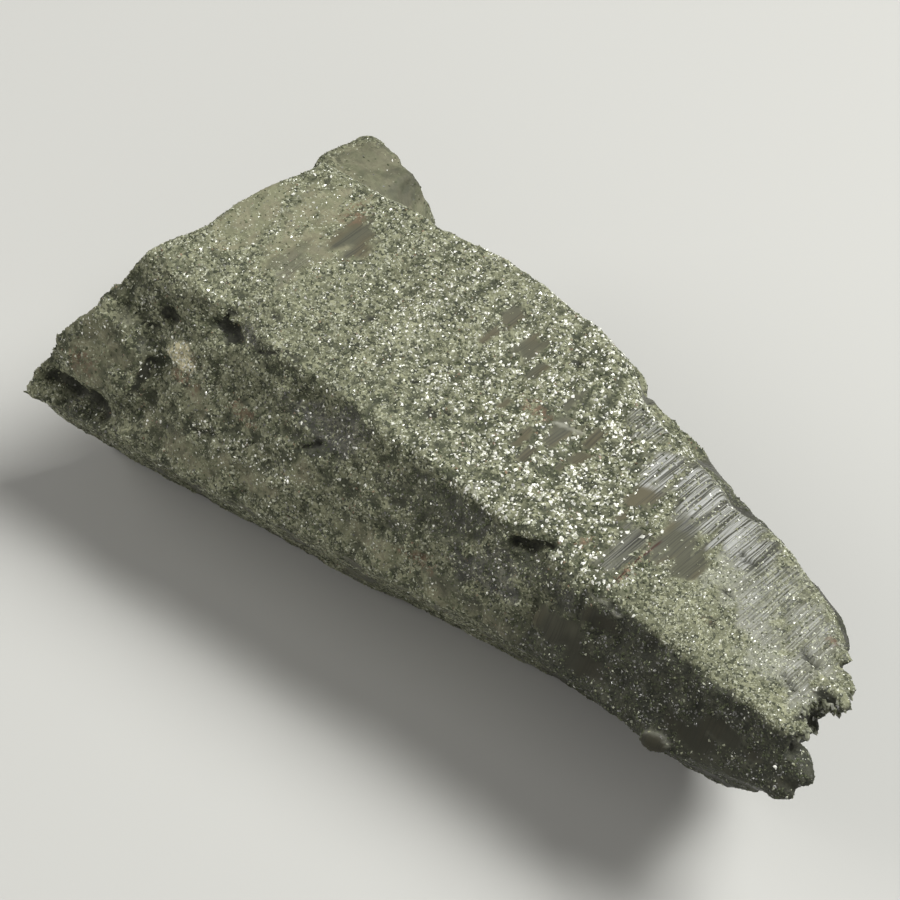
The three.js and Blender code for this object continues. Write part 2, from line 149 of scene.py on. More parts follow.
# Dark patches: partly dark olive-brown stains, and partly painted shade under the ridge and ledges,
# below the slot, in the hollow under the lobe, on the knob's lower side and on the low point at the
# tip.
DARK_STAINS_AND_SHADES = (
    (-18.3, -7.2, 19.2, 1.0, 0.7, 0.6), (-14.6, -7.1, 19.9, 1.0, 0.6, 0.4),
    (-5.9, -6.6, 19.3, 1.2, 0.6, 0.5), (-9.4, -8.8, 16.3, 1.5, 0.8, 0.5),
    (-1.9, -7.7, 16.8, 2.2, 0.9, 1.2), (0.9, -6.9, 17.8, 2.6, 0.9, 1.3),
    (3.2, -6.8, 17.7, 2.4, 0.9, 1.2), (5.8, -6.4, 18.0, 1.8, 0.8, 0.9),
    (1.5, -7.6, 16.5, 2.4, 0.9, 1.3), (-0.7, -9.0, 14.9, 1.6, 0.8, 0.6),
    (5.2, -9.8, 13.5, 3.2, 0.9, 0.8), (-11.2, -8.2, 17.7, 1.0, 0.7, 0.7),
    (-19.9, -11.8, 12.2, 0.8, 0.6, 0.4), (9.8, -7.0, 17.0, 2.0, 0.8, 0.9),
    (23.2, -6.7, 15.3, 2.8, 1.0, 1.2), (25.3, -5.6, 16.6, 2.2, 0.8, 0.8),
    (25.1, -7.0, 14.2, 2.6, 1.0, 1.0), (27.0, -5.6, 16.2, 1.6, 0.9, 0.9),
    (-27.2, -12.5, 10.1, 2.2, 1.0, 0.8), (-26.9, -13.0, 9.0, 2.8, 1.0, 1.0),
    (4.0, -6.6, 19.0, 1.3, 0.5, 0.5), (30.0, -5.6, 14.1, 1.5, 1.3, 1.1),
    (28.6, -3.2, 15.6, 1.2, 1.4, 1.2), (-20.8, 12.9, 15.5, 1.9, 1.6, 1.7),
    (8.2, -6.3, 17.6, 1.5, 0.6, 0.6), (-3.9, -9.2, 15.9, 1.0, 0.8, 0.6),
    (3.9, -6.9, 18.6, 1.4, 0.6, 0.6),
)
# Small parts where most grains are bright, then wider ones where about half of them are. They are
# partly pale crust and partly painted light: highlights, and light on edges and faces turned from the
# main lamp.
BRIGHT_GRAINS_AND_HIGHLIGHTS = (
    (-24.5, -8.8, 18.3, 0.6, 0.5, 0.4), (7.8, -5.2, 19.0, 1.3, 0.4, 0.3),
    (-20.4, -9.3, 16.6, 0.9, 0.7, 0.6), (30.2, -4.6, 14.9, 0.5, 0.5, 0.4),
    (30.4, -6.1, 13.6, 0.35, 0.3, 0.3), (26.5, -7.1, 13.9, 0.35, 0.4, 0.25),
    (3.2, -5.8, 19.2, 0.9, 0.4, 0.5), (29.5, -2.2, 17.3, 0.5, 0.5, 0.4),
    (7.0, 3.9, 18.9, 0.9, 0.8, 1.0), (28.6, -2.0, 17.3, 0.6, 0.6, 0.5),
    (-22.9, -12.7, 11.8, 0.9, 0.6, 0.6),
)
LIGHT_GRAINS_AND_PAINTED_LIGHT = (
    (-9.5, 1.5, 20.2, 2.2, 4.5, 1.2), (-5.0, -1.0, 19.8, 1.6, 1.6, 1.2),
    (-1.4, 7.6, 19.5, 2.0, 1.2, 1.2), (5.2, 4.2, 19.0, 1.6, 1.4, 1.2),
    (4.4, 0.6, 19.1, 1.0, 1.0, 1.2), (6.8, 0.1, 18.9, 1.2, 1.2, 1.2),
    (9.8, 2.9, 18.7, 1.4, 1.2, 1.2), (-13.5, -11.4, 13.8, 4.0, 1.4, 1.1),
    (-10.0, -10.2, 15.2, 1.6, 0.9, 0.8), (-21.8, -12.2, 12.2, 2.0, 1.0, 1.2),
    (-26.2, -9.8, 18.4, 1.6, 0.8, 0.7), (-27.6, -11.6, 16.2, 1.4, 1.2, 1.0),
    (-28.9, -13.0, 13.2, 1.2, 1.0, 1.4), (-4.0, 1.9, 19.7, 0.9, 0.9, 1.2),
    (-22.2, -10.2, 15.6, 0.8, 0.8, 1.2), (-1.9, 1.7, 19.6, 0.8, 0.8, 1.2),
    (6.0, 5.2, 19.0, 1.2, 1.2, 1.2), (8.5, 0.5, 18.8, 1.0, 1.2, 1.2),
    (9.6, -0.7, 18.7, 0.9, 0.9, 1.2), (0.8, -2.9, 19.4, 1.2, 0.9, 1.2),
    (5.9, -4.7, 18.9, 1.0, 0.8, 1.0), (7.8, -2.7, 18.8, 1.0, 0.9, 1.0),
    (4.3, -1.2, 19.1, 0.7, 0.7, 1.2), (4.8, 2.0, 19.1, 0.6, 0.7, 1.2),
    (4.1, 3.2, 19.1, 0.8, 0.8, 1.2), (-3.1, 1.3, 19.7, 1.0, 1.0, 1.2),
)
# Hollows: middle, half widths and depth. Hollows and cracks are painted dark as shade.
HOLLOWS = (
    (-18.4, -7.1, 19.2, 1.1, 0.7, 0.6, 0.4), (-18.5, -6.4, 20.2, 0.8, 0.4, 0.3, 0.15),
    (-3.4, -3.1, 19.6, 0.35, 0.3, 0.8, 0.25), (-2.7, -2.4, 19.6, 0.4, 0.25, 0.8, 0.25),
    (0.5, 6.65, 19.3, 0.25, 0.25, 0.8, 0.3), (-11.7, -0.4, 20.2, 0.35, 0.3, 0.8, 0.2),
    (-5.9, -2.2, 19.9, 0.25, 0.25, 0.8, 0.2), (-13.7, -3.7, 20.4, 0.5, 0.35, 0.8, 0.15),
    (20.3, -2.45, 17.8, 0.2, 0.25, 0.8, 0.3), (29.2, -1.8, 17.2, 0.8, 0.45, 0.5, 0.4),
    (28.8, -3.9, 16.9, 0.4, 0.45, 0.5, 0.4), (-23.6, -9.1, 17.1, 0.5, 0.4, 0.35, 0.2),
    (-22.7, -8.1, 18.2, 0.8, 0.5, 0.4, 0.15), (-15.9, -4.9, 20.5, 0.7, 0.35, 0.5, 0.12),
)
# Low swellings and dips of the whole face: middle, half widths and height.
SWELLINGS = (
    (5.0, 10.0, 14.9, 1.4, 1.5, 1.5, 0.45), (1.9, 12.0, 13.2, 1.3, 1.2, 1.3, -0.45),
    (8.6, 8.9, 15.5, 1.5, 1.3, 1.4, -0.50), (-25.0, 14.4, 15.3, 1.7, 1.5, 1.5, 0.35),
    (-20.3, 13.2, 15.0, 1.4, 1.5, 1.5, -0.45), (-27.2, -9.2, 17.3, 0.9, 0.9, 0.9, 0.4),
)
# Cracks and grooves: half width, depth, and the points that each passes.
CRACKS = (
    (0.12, 0.10, ((-23.3, -8.9, 17.6), (-22.7, -9.3, 16.8))),
    (0.24, 0.25, (
        (-22.6, -10.5, 15.4), (-22.5, -11.2, 14.5), (-22.7, -12.2, 13.8), (-23.5, -12.9, 12.6),
    )),
    (0.45, 0.30, (
        (-29.8, -12.9, 10.6), (-28.6, -12.6, 10.4), (-27.5, -12.4, 10.2), (-26.3, -12.5, 10.3),
        (-25.3, -12.4, 10.15),
    )),
    (0.38, 0.60, ((6.9, -6.5, 18.0), (7.9, -6.0, 18.0), (9.1, -5.4, 18.5))),
    (0.17, 0.25, ((-9.9, -9.2, 15.8), (-9.2, -8.8, 16.2), (-8.8, -8.4, 16.5))),
    (0.15, 0.20, ((-15.3, -7.3, 19.5), (-13.9, -6.9, 20.2))),
    (0.14, 0.20, ((-13.5, -6.6, 20.4), (-12.4, -6.4, 20.3))),
    (0.12, 0.15, ((-17.6, -11.2, 13.2), (-15.9, -10.8, 13.6))),
    (0.14, 0.35, ((25.6, 0.0, 17.4), (26.3, -0.1, 17.3), (27.3, -0.4, 17.2))),
    (0.14, 0.30, ((26.0, -2.2, 17.3), (27.3, -2.7, 17.2))),
    (0.11, 0.18, ((18.0, 2.9, 18.0), (18.6, 2.6, 17.9), (19.2, 2.9, 17.9))),
    (0.12, 0.20, ((19.0, -0.1, 18.0), (20.1, -0.3, 17.9))),
)
# Red streaks, then raised streaks painted pale, mostly as highlights: half width, and the points that
# each passes.
RED_STREAKS = ((0.35, ((13.9, -4.2, 18.3), (13.9, -2.4, 18.3), (14.0, -0.5, 18.3))),)
HIGHLIGHT_STREAKS = (
    (0.12, ((2.8, 1.9, 19.2), (3.6, 2.4, 19.1), (4.5, 2.8, 19.1))),
    (0.14, ((2.8, -5.6, 19.4), (3.1, -6.0, 19.2), (3.7, -6.1, 19.0))),
    (0.07, ((12.9, -6.2, 17.8), (14.2, -6.0, 17.6), (15.6, -5.9, 17.3))),
)
# A rounded lump of clear quartz stands out of the lower edge near the tip.
LUMP = (21.4, -8.8, 12.4, 0.95, 0.9, 0.55)
LUMP_HEIGHT = 0.4

NOISE_STRETCH = 1.6  # the noise seldom comes near 1 by itself
PATCH_BORDER = (1.25, 0.75)
STREAK_BORDER = (1.5, 0.5)
STREAK_DEPTH_SHARE = 0.75  # how much of the way above or below a streak doesn't count


def smooth_step(low, high, value):
    share = np.clip((value - low) / (high - low), 0.0, 1.0)
    return share * share * (3.0 - 2.0 * share)


def lumps(places, sizes, seed):
    """Smooth noise from -1 to 1, with lumps of the given sizes in mm."""
    moved = places / np.asarray(sizes) + (seed, 1.7 * seed, 2.3 * seed)
    return np.array([noise.noise(place) for place in moved.tolist()]) * NOISE_STRETCH


def patch(places, middle, half, edge, power=2):
    """1 inside a patch and 0 outside it: an oval, or nearly a box with a higher power."""
    apart = (places - np.asarray(middle)) / np.asarray(half)
    return smooth_step(*PATCH_BORDER, np.linalg.norm(apart, power, axis=1) + edge)


def on_upper(spot):
    """Middle and half widths of a patch on the upper face, from its x and y values."""
    x, y, half_x, half_y = spot
    return (x, y, UPPER_AT_MIDDLE - UPPER_FALL * x), (half_x, half_y, UPPER_PATCH_HALF)


def streak(places, points, half_width, edge):
    """1 along a line on the faces through the given points, and 0 away from it."""
    x, y, z = points[0]
    facing = UPPER_FACING if z > UPPER_LOWEST and y > UPPER_FOREMOST else FRONT_FACING
    nearest = np.full(len(places), np.inf)
    for start, end in zip(points, points[1:]):
        along = np.subtract(end, start)
        apart = places - start
        share = np.clip(apart @ along / (along @ along), 0, 1)
        apart -= share[:, None] * along
        apart -= STREAK_DEPTH_SHARE * (apart @ facing)[:, None] * facing
        nearest = np.minimum(nearest, np.linalg.norm(apart, axis=1))
    return smooth_step(*STREAK_BORDER, nearest / half_width + edge)


def smooth(bm, verts, factor):
    bmesh.ops.smooth_vert(
        bm, verts=verts, factor=factor, use_axis_x=True, use_axis_y=True, use_axis_z=True
    )


def divided_skin(node):
    """The solid of a node as one evenly divided skin, worn smooth except at the tip."""
    bm = bmesh.new()
    bm.from_mesh(node.data)
    bmesh.ops.remove_doubles(bm, verts=bm.verts, dist=SAME_PLACE)
    mesh = bpy.data.meshes.new("crystal")
    bm.to_mesh(mesh)
    bm.free()
    piece = bpy.data.objects.new("crystal", mesh)
    bpy.context.collection.objects.link(piece)
    remesh = piece.modifiers.new("even", "REMESH")
    remesh.mode = "VOXEL"
    remesh.voxel_size = SKIN_VOXEL
    shaped = piece.evaluated_get(bpy.context.evaluated_depsgraph_get())
    finished = bpy.data.meshes.new_from_object(shaped)
    piece.modifiers.clear()
    piece.data = finished
    bpy.data.meshes.remove(mesh)
    bm = bmesh.new()
    bm.from_mesh(finished)
    worn = [vert for vert in bm.verts if vert.co.x < TIP_FROM * MM]
    for _ in range(WEAR_ROUNDS):
        smooth(bm, worn, WEAR)
    smooth(bm, bm.verts, LAST_WEAR)
    bm.to_mesh(finished)
    bm.free()
    finished.materials.clear()
    return piece


def read(items, name, width):
    """One property of all items of a mesh, as rows of numbers."""
    values = np.empty(len(items) * width, np.float32)
    items.foreach_get(name, values)
    return values.reshape(-1, width).astype(float)


crystal = divided_skin(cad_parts["quartz_crystal"])
skin = crystal.data
skin_places = read(skin.vertices, "co", 3) / MM + AXIS
skin_facing = read(skin.vertex_normals, "vector", 3)
x, y, z = skin_places.T.copy()

# Noises that roughen the borders, the relief and the crust: the sizes of their lumps in mm,
# and a seed.
BROAD_RAGS = ((0.8, 2.2, 2.2), 3.0)
SMALL_RAGS = ((0.4, 0.9, 0.9), 8.0)
COMBED_RAGS = ((0.3, 4.0, 4.0), 51.0)
STRAY_PARTS = ((1.6, 3.4, 3.4), 21.0)
BROAD_STEPS = ((0.7, 1, 1), 5.0)
FINE_STEPS = ((0.5, 1, 1), 9.0)
BROAD_CLUMPS = ((0.75, 1.0, 1.0), 1.0)
SMALL_CLUMPS = ((0.4, 0.45, 0.45), 2.0)
FRONT_SWELLS = ((1.9, 1.7, 1.7), 14.0)
GREY_THREADS = ((0.9, 0.8, 0.8), 41.0)
BRIGHT_DRIFTS = ((1.5, 2.6, 2.6), 31.0)
ragged = 0.35 * lumps(skin_places, *BROAD_RAGS) + 0.2 * lumps(skin_places, *SMALL_RAGS)
combed = ragged + 0.3 * lumps(skin_places, *COMBED_RAGS)


def most(shares):
    """The highest of several shares at each place."""
    return np.max(np.array(list(shares)), axis=0)


def ovals(spots, edge=0.0):
    """The share of several patches, from their middles and half widths."""
    return most(patch(skin_places, spot[:3], spot[3:6], edge) for spot in spots)


def upper_ovals(spots, edge, power=2):
    """The share of several patches on the upper face, from their x and y values."""
    return most(patch(skin_places, *on_upper(spot), edge, power) for spot in spots)


def streaks(lines, edge):
    """The share of several streaks, from their half widths and points."""
    return most(streak(skin_places, points, half_width, edge) for half_width, points in lines)


# The upper skin passes into the front and the back: from and to, in mm or as a share. It
# reaches a little over the back edge, which is rounded, and less deep at the narrow end.
UPPER_DEPTH = (0.35, 1.0)
BACK_EDGE = (0.0, 2.0)
BACK_REACH, BACK_LEAN = 1.3, 0.25
NARROW_END = (6, 14)
LOOKS_UP = (0.3, 0.6)
LOOKS_FORWARD = (0.45, 0.8)
BORDER_RAGS = 0.4
over_back = smooth_step(*BACK_EDGE, y)
depth = UPPER_AT_MIDDLE - UPPER_FALL * x - z
depth = UPPER_DEPTH[0] + (depth - UPPER_DEPTH[0]) * (1 + smooth_step(*NARROW_END, x))
depth = depth - BACK_REACH * over_back
upper = 1 - smooth_step(*UPPER_DEPTH, depth + BORDER_RAGS * ragged)
upper *= smooth_step(*LOOKS_UP, skin_facing[:, 2] + BACK_LEAN * over_back)
front = smooth_step(*LOOKS_FORWARD, skin_facing @ FRONT_FACING) * (1 - upper)

# Clean and lined parts of the upper face are nearly square, since they end at growth lines.
bare = upper_ovals(UPPER_WINDOWS, combed, power=5)
bare = np.maximum(bare, ovals(FRONT_WINDOWS, ragged))
lined = upper_ovals(LINED_PATCHES, combed, power=3)
lined = np.maximum(lined, 0.6 * upper_ovals(FAINTLY_LINED, 1.3 * ragged))
bright = upper_ovals(BRIGHT_PATCHES, ragged)
soft = upper_ovals(SOFT_PATCHES, 1.3 * ragged)
soft = np.maximum(soft, 0.8 * ovals(SOFT_SIDES, 1.3 * ragged))

# The faces that turn away have windows of the same kind, and lines except on the broken base.
STRAY_WINDOWS = (0.42, 0.6)
STRAY_LINES = (0.1, 0.5)
LOOKS_BACKWARD = (0.5, 0.8)
side_crystal = ovals([SIDE_CRYSTAL])
hidden = (1 - upper) * (1 - front) * (1 - side_crystal)
stray = lumps(skin_places, *STRAY_PARTS)
bare = np.maximum(bare, hidden * smooth_step(*STRAY_WINDOWS, stray))
broken_base = smooth_step(*LOOKS_BACKWARD, -skin_facing[:, 0])
lined = np.maximum(lined, hidden * (1 - broken_base) * smooth_step(*STRAY_LINES, stray))
soft = np.maximum(soft, side_crystal)

hollow = np.zeros(len(skin_places))
sunk = np.zeros(len(skin_places))
for spot in HOLLOWS:
    inside = ovals([spot], 1.5 * ragged)
    sunk += spot[6] * inside
    hollow = np.maximum(hollow, inside)
for half_width, crack_depth, line in CRACKS:
    inside = streak(skin_places, line, half_width, 1.2 * ragged)
    sunk += crack_depth * inside
    hollow = np.maximum(hollow, inside)

rusty = ovals(RUSTY_STAINS, 1.4 * ragged)
pale = ovals(PALE_STAINS, ragged)
red = streaks(RED_STREAKS, 0.8 * ragged)
painted_highlights = streaks(HIGHLIGHT_STREAKS, ragged)
lump = ovals([LUMP])
# The upper edge of the lump is painted pale as a highlight.
rim_highlight = lump * (1 - lump) * 4 * (z > LUMP[2])
painted_highlights = np.maximum(painted_highlights, 0.45 * rim_highlight)
bare = np.maximum(bare, lump)

# The front is dull grey in places and darker in others. It darkens towards the tip, partly the dark
# glassy quartz there and partly painted shade, and the dark begins sooner low down, which is painted
# shade.
DARK_END, DARK_LOW_DOWN, DARK_SOONER = (8, 16), (15, 13), 4
grey = 0.8 * ovals(GREY_STAINS_AND_RIDGE_SHADE, 1.6 * ragged) * (1 - upper)
shade = ovals(DARK_STAINS_AND_SHADES, 1.6 * ragged) * (1 - upper)
# The side crystal, which faces the main lamp squarely, gets painted shade at half strength.
shade = np.maximum(shade, 0.5 * side_crystal)
dark = smooth_step(*DARK_END, x + 4 * ragged + DARK_SOONER * smooth_step(*DARK_LOW_DOWN, z))
dark *= (1 - upper) * (1 - 0.1 * lump)

# The crust of the upper face is coarse in the middle, as far as a slanting border, and fine
# and silvery towards the tip.
COARSE_BEGINS, COARSE_ENDS, COARSE_SLANT = (-9, 6), (12, 16), 0.7
FINE_BEGINS = (12, 17)
SHINE_BEGINS = (17, 22)
# Towards the tip, the lines on the upper face get painted highlights too.
bright = np.maximum(bright, 0.65 * upper * smooth_step(*SHINE_BEGINS, x))
silvery = upper * upper_ovals(SILVERY, 1.6 * ragged)
coarse = upper * smooth_step(*COARSE_BEGINS, x)
coarse *= 1 - smooth_step(*COARSE_ENDS, x + COARSE_SLANT * y)
fine = upper * smooth_step(*FINE_BEGINS, x)
crusted = (1 - np.maximum(bare, 0.7 * lined)) * (1 - 0.6 * soft)

# Heights of the relief, in mm. The skin lies a little inside the solid, and the grains of
# the crust fill the rest.
CLUMP_HEIGHT, COARSE_MORE, FINE_LESS, FRONT_MORE = 0.07, 0.04, 0.02, 0.05
SWELL_HEIGHT = 0.2
STEP_HEIGHT = 0.012
CRUST_HEIGHT = 0.05
STREAK_HEIGHT = 0.05
SUNK = 0.09
steps = lumps(skin_places * (1, 0.06, 0.06), *BROAD_STEPS)
steps = steps + 0.5 * lumps(skin_places * (1, 0.1, 0.1), *FINE_STEPS)
clumps = lumps(skin_places, *BROAD_CLUMPS) + 0.5 * lumps(skin_places, *SMALL_CLUMPS)
clump_height = CLUMP_HEIGHT + COARSE_MORE * coarse - FINE_LESS * fine + FRONT_MORE * front
relief = crusted * clumps * clump_height
relief += SWELL_HEIGHT * front * crusted * lumps(skin_places, *FRONT_SWELLS)
relief += STEP_HEIGHT * steps * (0.35 + 0.65 * lined)
relief += sum(spot[6] * ovals([spot]) for spot in SWELLINGS)
relief += CRUST_HEIGHT * crusted + STREAK_HEIGHT * painted_highlights + LUMP_HEIGHT * lump - sunk
at_tip = smooth_step(TIP_FROM, TIP_TO, x)
relief = relief * (1 - 0.6 * at_tip) - SUNK * (1 - 0.7 * at_tip)

low, high = (np.array(corner) / MM + AXIS for corner in cad_box)
skin_places = np.clip(skin_places + skin_facing * relief[:, None], low, high)
x, y, z = skin_places.T.copy()
skin.vertices.foreach_set("co", ((skin_places - AXIS) * MM).astype(np.float32).ravel())
skin.update()
skin.polygons.foreach_set("use_smooth", np.ones(len(skin.polygons), bool))

# Dark gaps lie between the clumps, where the relief is low: partly the dark chlorite below, partly
# painted shade. There are fewer of them in the fine crust and towards the base.
GAP_DEPTH = (0.2, 0.8)
NEAR_BASE = (-6, -16)
gap_and_shade = crusted * smooth_step(*GAP_DEPTH, 0.27 * coarse + 0.12 * front - clumps)
gap_and_shade = gap_and_shade * (1 - 0.75 * fine)
gap_and_shade *= 1 - 0.5 * upper * smooth_step(*NEAR_BASE, x)

masks = {
    "bare": bare, "lined": lined, "bright": bright, "soft": soft, "hollow": hollow,
    "rusty": rusty, "red": red, "pale": pale, "painted_highlights": painted_highlights, "grey": grey,
    "shade": shade * (1 - 0.9 * dark), "dark": dark, "gap_and_shade": gap_and_shade, "silvery": silvery,
}
for name, values in masks.items():
    attribute = skin.attributes.new(name, "FLOAT", "POINT")
    attribute.data.foreach_set("value", values.astype(np.float32))


class Nodes:
    """A material's nodes, made and joined in short calls."""

    def __init__(self, name):
        self.material = bpy.data.materials.new(name)
        self.material.use_nodes = True
        self.tree = self.material.node_tree

    def join(self, value, socket):
        if isinstance(value, bpy.types.NodeSocket):
            self.tree.links.new(value, socket)
        else:
            socket.default_value = value

    def set_inputs(self, node, inputs):
        for key, value in inputs.items():
            self.join(value, node.inputs[key.replace("_", " ")])

    def add(self, kind, out=0, settings=(), **inputs):
        node = self.tree.nodes.new("ShaderNode" + kind)
        for key, value in dict(settings).items():
            setattr(node, key, value)
        self.set_inputs(node, inputs)
        return node.outputs[out]

    def surface(self, **inputs):
        """Sets the shader's own sockets, and gives the finished material."""
        self.set_inputs(self.tree.nodes["Principled BSDF"], inputs)
        return self.material

    def value(self, operation, a, b):
        node = self.tree.nodes.new("ShaderNodeMath")
        node.operation = operation
        node.use_clamp = True
        self.join(a, node.inputs[0])
        self.join(b, node.inputs[1])
        return node.outputs[0]

    def weigh(self, share, a, b):
        """A share of one pattern and the rest of another."""
        return self.value("ADD", self.value("MULTIPLY", a, share), self.value("MULTIPLY", b, 1 - share))

    def mix(self, share, a, b):
        node = self.tree.nodes.new("ShaderNodeMix")
        node.data_type = "RGBA"
        self.join(share, node.inputs["Factor"])
        self.join(a, node.inputs["A"])
        self.join(b, node.inputs["B"])
        return node.outputs["Result"]

    def stain(self, colour, name, share, tint):
        """The colour, turned by a share towards a tint where the mask of that name is high."""
        return self.mix(self.value("MULTIPLY", self.mask(name), share), colour, tint)

    def ramp(self, share, *stops):
        node = self.tree.nodes.new("ShaderNodeMapRange")
        node.interpolation_type = "SMOOTHSTEP"
        self.join(share, node.inputs["Value"])
        for key, value in zip(("From Min", "From Max", "To Min", "To Max"), stops):
            node.inputs[key].default_value = value
        return node.outputs["Result"]

    def mask(self, name):
        return self.add("Attribute", out="Fac", settings={"attribute_name": name})

    def places(self, across=1.0):
        """Object coordinates in mm. Patterns are drawn out across the crystal."""
        at = self.add("TexCoord", out="Object")
        return self.add("Mapping", Vector=at, Scale=(1 / MM, across / MM, across / MM))

    def clouds(self, at, size, detail=2.0):
        return self.add("TexNoise", Vector=at, Scale=1 / size, Detail=detail)


QUARTZ_REFRACTION = 1.545
CRUST_SPECULAR = 0.35
CRUST_ROUGHNESS, LINED_ROUGHNESS = 0.75, 0.5
CELL_SIZE, CRUMB_SIZE = 0.22, 0.2
CRUMB_BUMP, LINE_BUMP = 0.05 * MM, 0.08 * MM
CRUST_DARK = (0.036, 0.041, 0.024, 1)
CRUST = (0.150, 0.156, 0.094, 1)
CRUST_PALE = (0.290, 0.295, 0.190, 1)
SOFT_OLIVE = (0.195, 0.198, 0.120, 1)
SOFT_TAN = (0.225, 0.212, 0.138, 1)
# Dark patches: partly stains, partly painted shade.
STAIN_AND_SHADE_DARK = (0.050, 0.052, 0.038, 1)
# The dark front: partly dark glassy quartz, partly painted shade.
FRONT_DARK_AND_SHADE = (0.022, 0.023, 0.016, 1)
WINDOW_GREY = (0.082, 0.082, 0.055, 1)
WINDOW_BROWN = (0.098, 0.088, 0.053, 1)
WINDOW_SHADE = (0.020, 0.020, 0.012, 1)
LINED_DULL = (0.100, 0.101, 0.077, 1)
# Growth lines: painted shade in their grooves, then painted highlights on their crests.
LINE_GROOVE_SHADE = (0.036, 0.036, 0.029, 1)
LINE_CREST_HIGHLIGHT = (0.360, 0.365, 0.350, 1)
SILVER = (0.270, 0.276, 0.225, 1)
RUST = (0.150, 0.095, 0.058, 1)
RED = (0.040, 0.012, 0.005, 1)
# The red streak is a straight line across the crystal: where it starts, peaks and ends.
RED_LINE = (13.67, 13.79, 13.90)
PALE = (0.720, 0.655, 0.425, 1)
# Painted highlight on raised streaks and the lump's upper edge.
PAINTED_HIGHLIGHT = (0.330, 0.330, 0.270, 1)
GREY = (0.085, 0.083, 0.080, 1)
# Painted shade in the hollows and cracks.
HOLLOW_PAINTED_SHADE = (0.018, 0.019, 0.013, 1)


def crust_colour(nodes, at):
    """Grainy chlorite: smooth and olive in soft parts, dark between the clumps and darker on the front,
    both partly painted shade.
    """
    cells = nodes.add("TexVoronoi", out="Color", Vector=at, Scale=1 / CELL_SIZE)
    tint = nodes.add("SeparateColor", Color=cells)
    grainy = nodes.weigh(0.6, tint, nodes.clouds(at, 2.4))
    crust = nodes.mix(nodes.ramp(grainy, 0.2, 0.55, 0, 1), CRUST_DARK, CRUST)
    crust = nodes.mix(nodes.ramp(grainy, 0.55, 0.85, 0, 1), crust, CRUST_PALE)
    olive = nodes.mix(nodes.ramp(nodes.clouds(at, 1.1, 4.0), 0.4, 0.6, 0, 1), SOFT_OLIVE, SOFT_TAN)
    crust = nodes.stain(crust, "soft", 0.8, olive)
    crust = nodes.stain(crust, "gap_and_shade", 0.8, CRUST_DARK)
    # Dull grey, partly painted shade under the ridge.
    crust = nodes.stain(crust, "grey", 0.75, GREY)
    crust = nodes.stain(crust, "silvery", 0.7, SILVER)
    return nodes.stain(crust, "dark", 0.85, FRONT_DARK_AND_SHADE)


def growth_lines(nodes):
    """Lines across the crystal: thin ones, with broad ones among them."""
    thin = nodes.clouds(nodes.places(0.02), 0.10, 1.0)
    broad = nodes.clouds(nodes.places(0.05), 0.5, 2.0)
    return nodes.weigh(0.8, thin, broad)


def quartz_colour(nodes, lines):
    """Bare quartz: grey and brown in the windows. Its growth lines are painted dark in their grooves as
    shade, darker in lined parts, and light on their crests as highlights in the bright parts.
    """
    broad = nodes.clouds(nodes.places(0.3), 1.6)
    glass = nodes.mix(nodes.ramp(broad, 0.4, 0.6, 0, 1), WINDOW_GREY, WINDOW_BROWN)
    glass = nodes.mix(nodes.mask("lined"), glass, LINED_DULL)
    glass = nodes.mix(nodes.ramp(lines, 0.5, 0.38, 0, 0.5), glass, LINE_GROOVE_SHADE)
    glass = nodes.stain(glass, "bright", nodes.ramp(lines, 0.44, 0.60, 0, 1), LINE_CREST_HIGHLIGHT)
    glass = nodes.stain(glass, "lined", nodes.ramp(lines, 0.48, 0.40, 0, 0.9), LINE_GROOVE_SHADE)
    return nodes.stain(glass, "dark", 0.85, WINDOW_SHADE)


def stained(nodes, at, colour):
    """The colour with dark patches that are partly painted shade, rusty, red and pale places, painted
    highlights, and painted shade in the hollows.
    """
    # Dark patches, partly stains and partly painted shade.
    colour = nodes.stain(colour, "shade", 0.6, STAIN_AND_SHADE_DARK)
    rust_share = nodes.ramp(nodes.clouds(at, 0.5), 0.42, 0.62, 0, 0.6)
    colour = nodes.stain(colour, "rusty", rust_share, RUST)
    along = nodes.add("SeparateXYZ", Vector=at)
    start, peak, end = RED_LINE
    rising, falling = nodes.ramp(along, start, peak, 0, 1), nodes.ramp(along, peak, end, 1, 0)
    colour = nodes.stain(colour, "red", nodes.value("MULTIPLY", rising, falling), RED)
    pale_share = nodes.ramp(nodes.clouds(at, 0.3), 0.3, 0.6, 0.27, 0.9)
    colour = nodes.stain(colour, "pale", pale_share, PALE)
    # Raised streaks and the lump's upper edge are painted pale as highlights.
    colour = nodes.stain(colour, "painted_highlights", 0.7, PAINTED_HIGHLIGHT)
    # Hollows and cracks are painted dark as shade.
    return nodes.stain(colour, "hollow", 0.85, HOLLOW_PAINTED_SHADE)


def bumped(nodes, at, lines):
    """Crumbs too small for the mesh on the crust, and growth lines on the bare quartz."""
    clean = nodes.value("MAXIMUM", nodes.mask("bare"), nodes.mask("lined"))
    crumbs = nodes.add("TexVoronoi", Vector=at, Scale=1 / CRUMB_SIZE)
    firm = nodes.ramp(nodes.mask("soft"), 0, 1, 1, 0.35)
    crumbly = nodes.value("MULTIPLY", nodes.value("SUBTRACT", 1.0, clean), firm)
    height = nodes.value("MULTIPLY", crumbs, crumbly)
    crumb_normal = nodes.add("Bump", Strength=1.0, Distance=CRUMB_BUMP, Height=height)
    line_share = nodes.add("MapRange", Value=nodes.mask("lined"), To_Min=0.25, To_Max=0.9)
    height = nodes.value("MULTIPLY", lines, line_share)
    return nodes.add("Bump", Strength=1.0, Distance=LINE_BUMP, Height=height, Normal=crumb_normal)


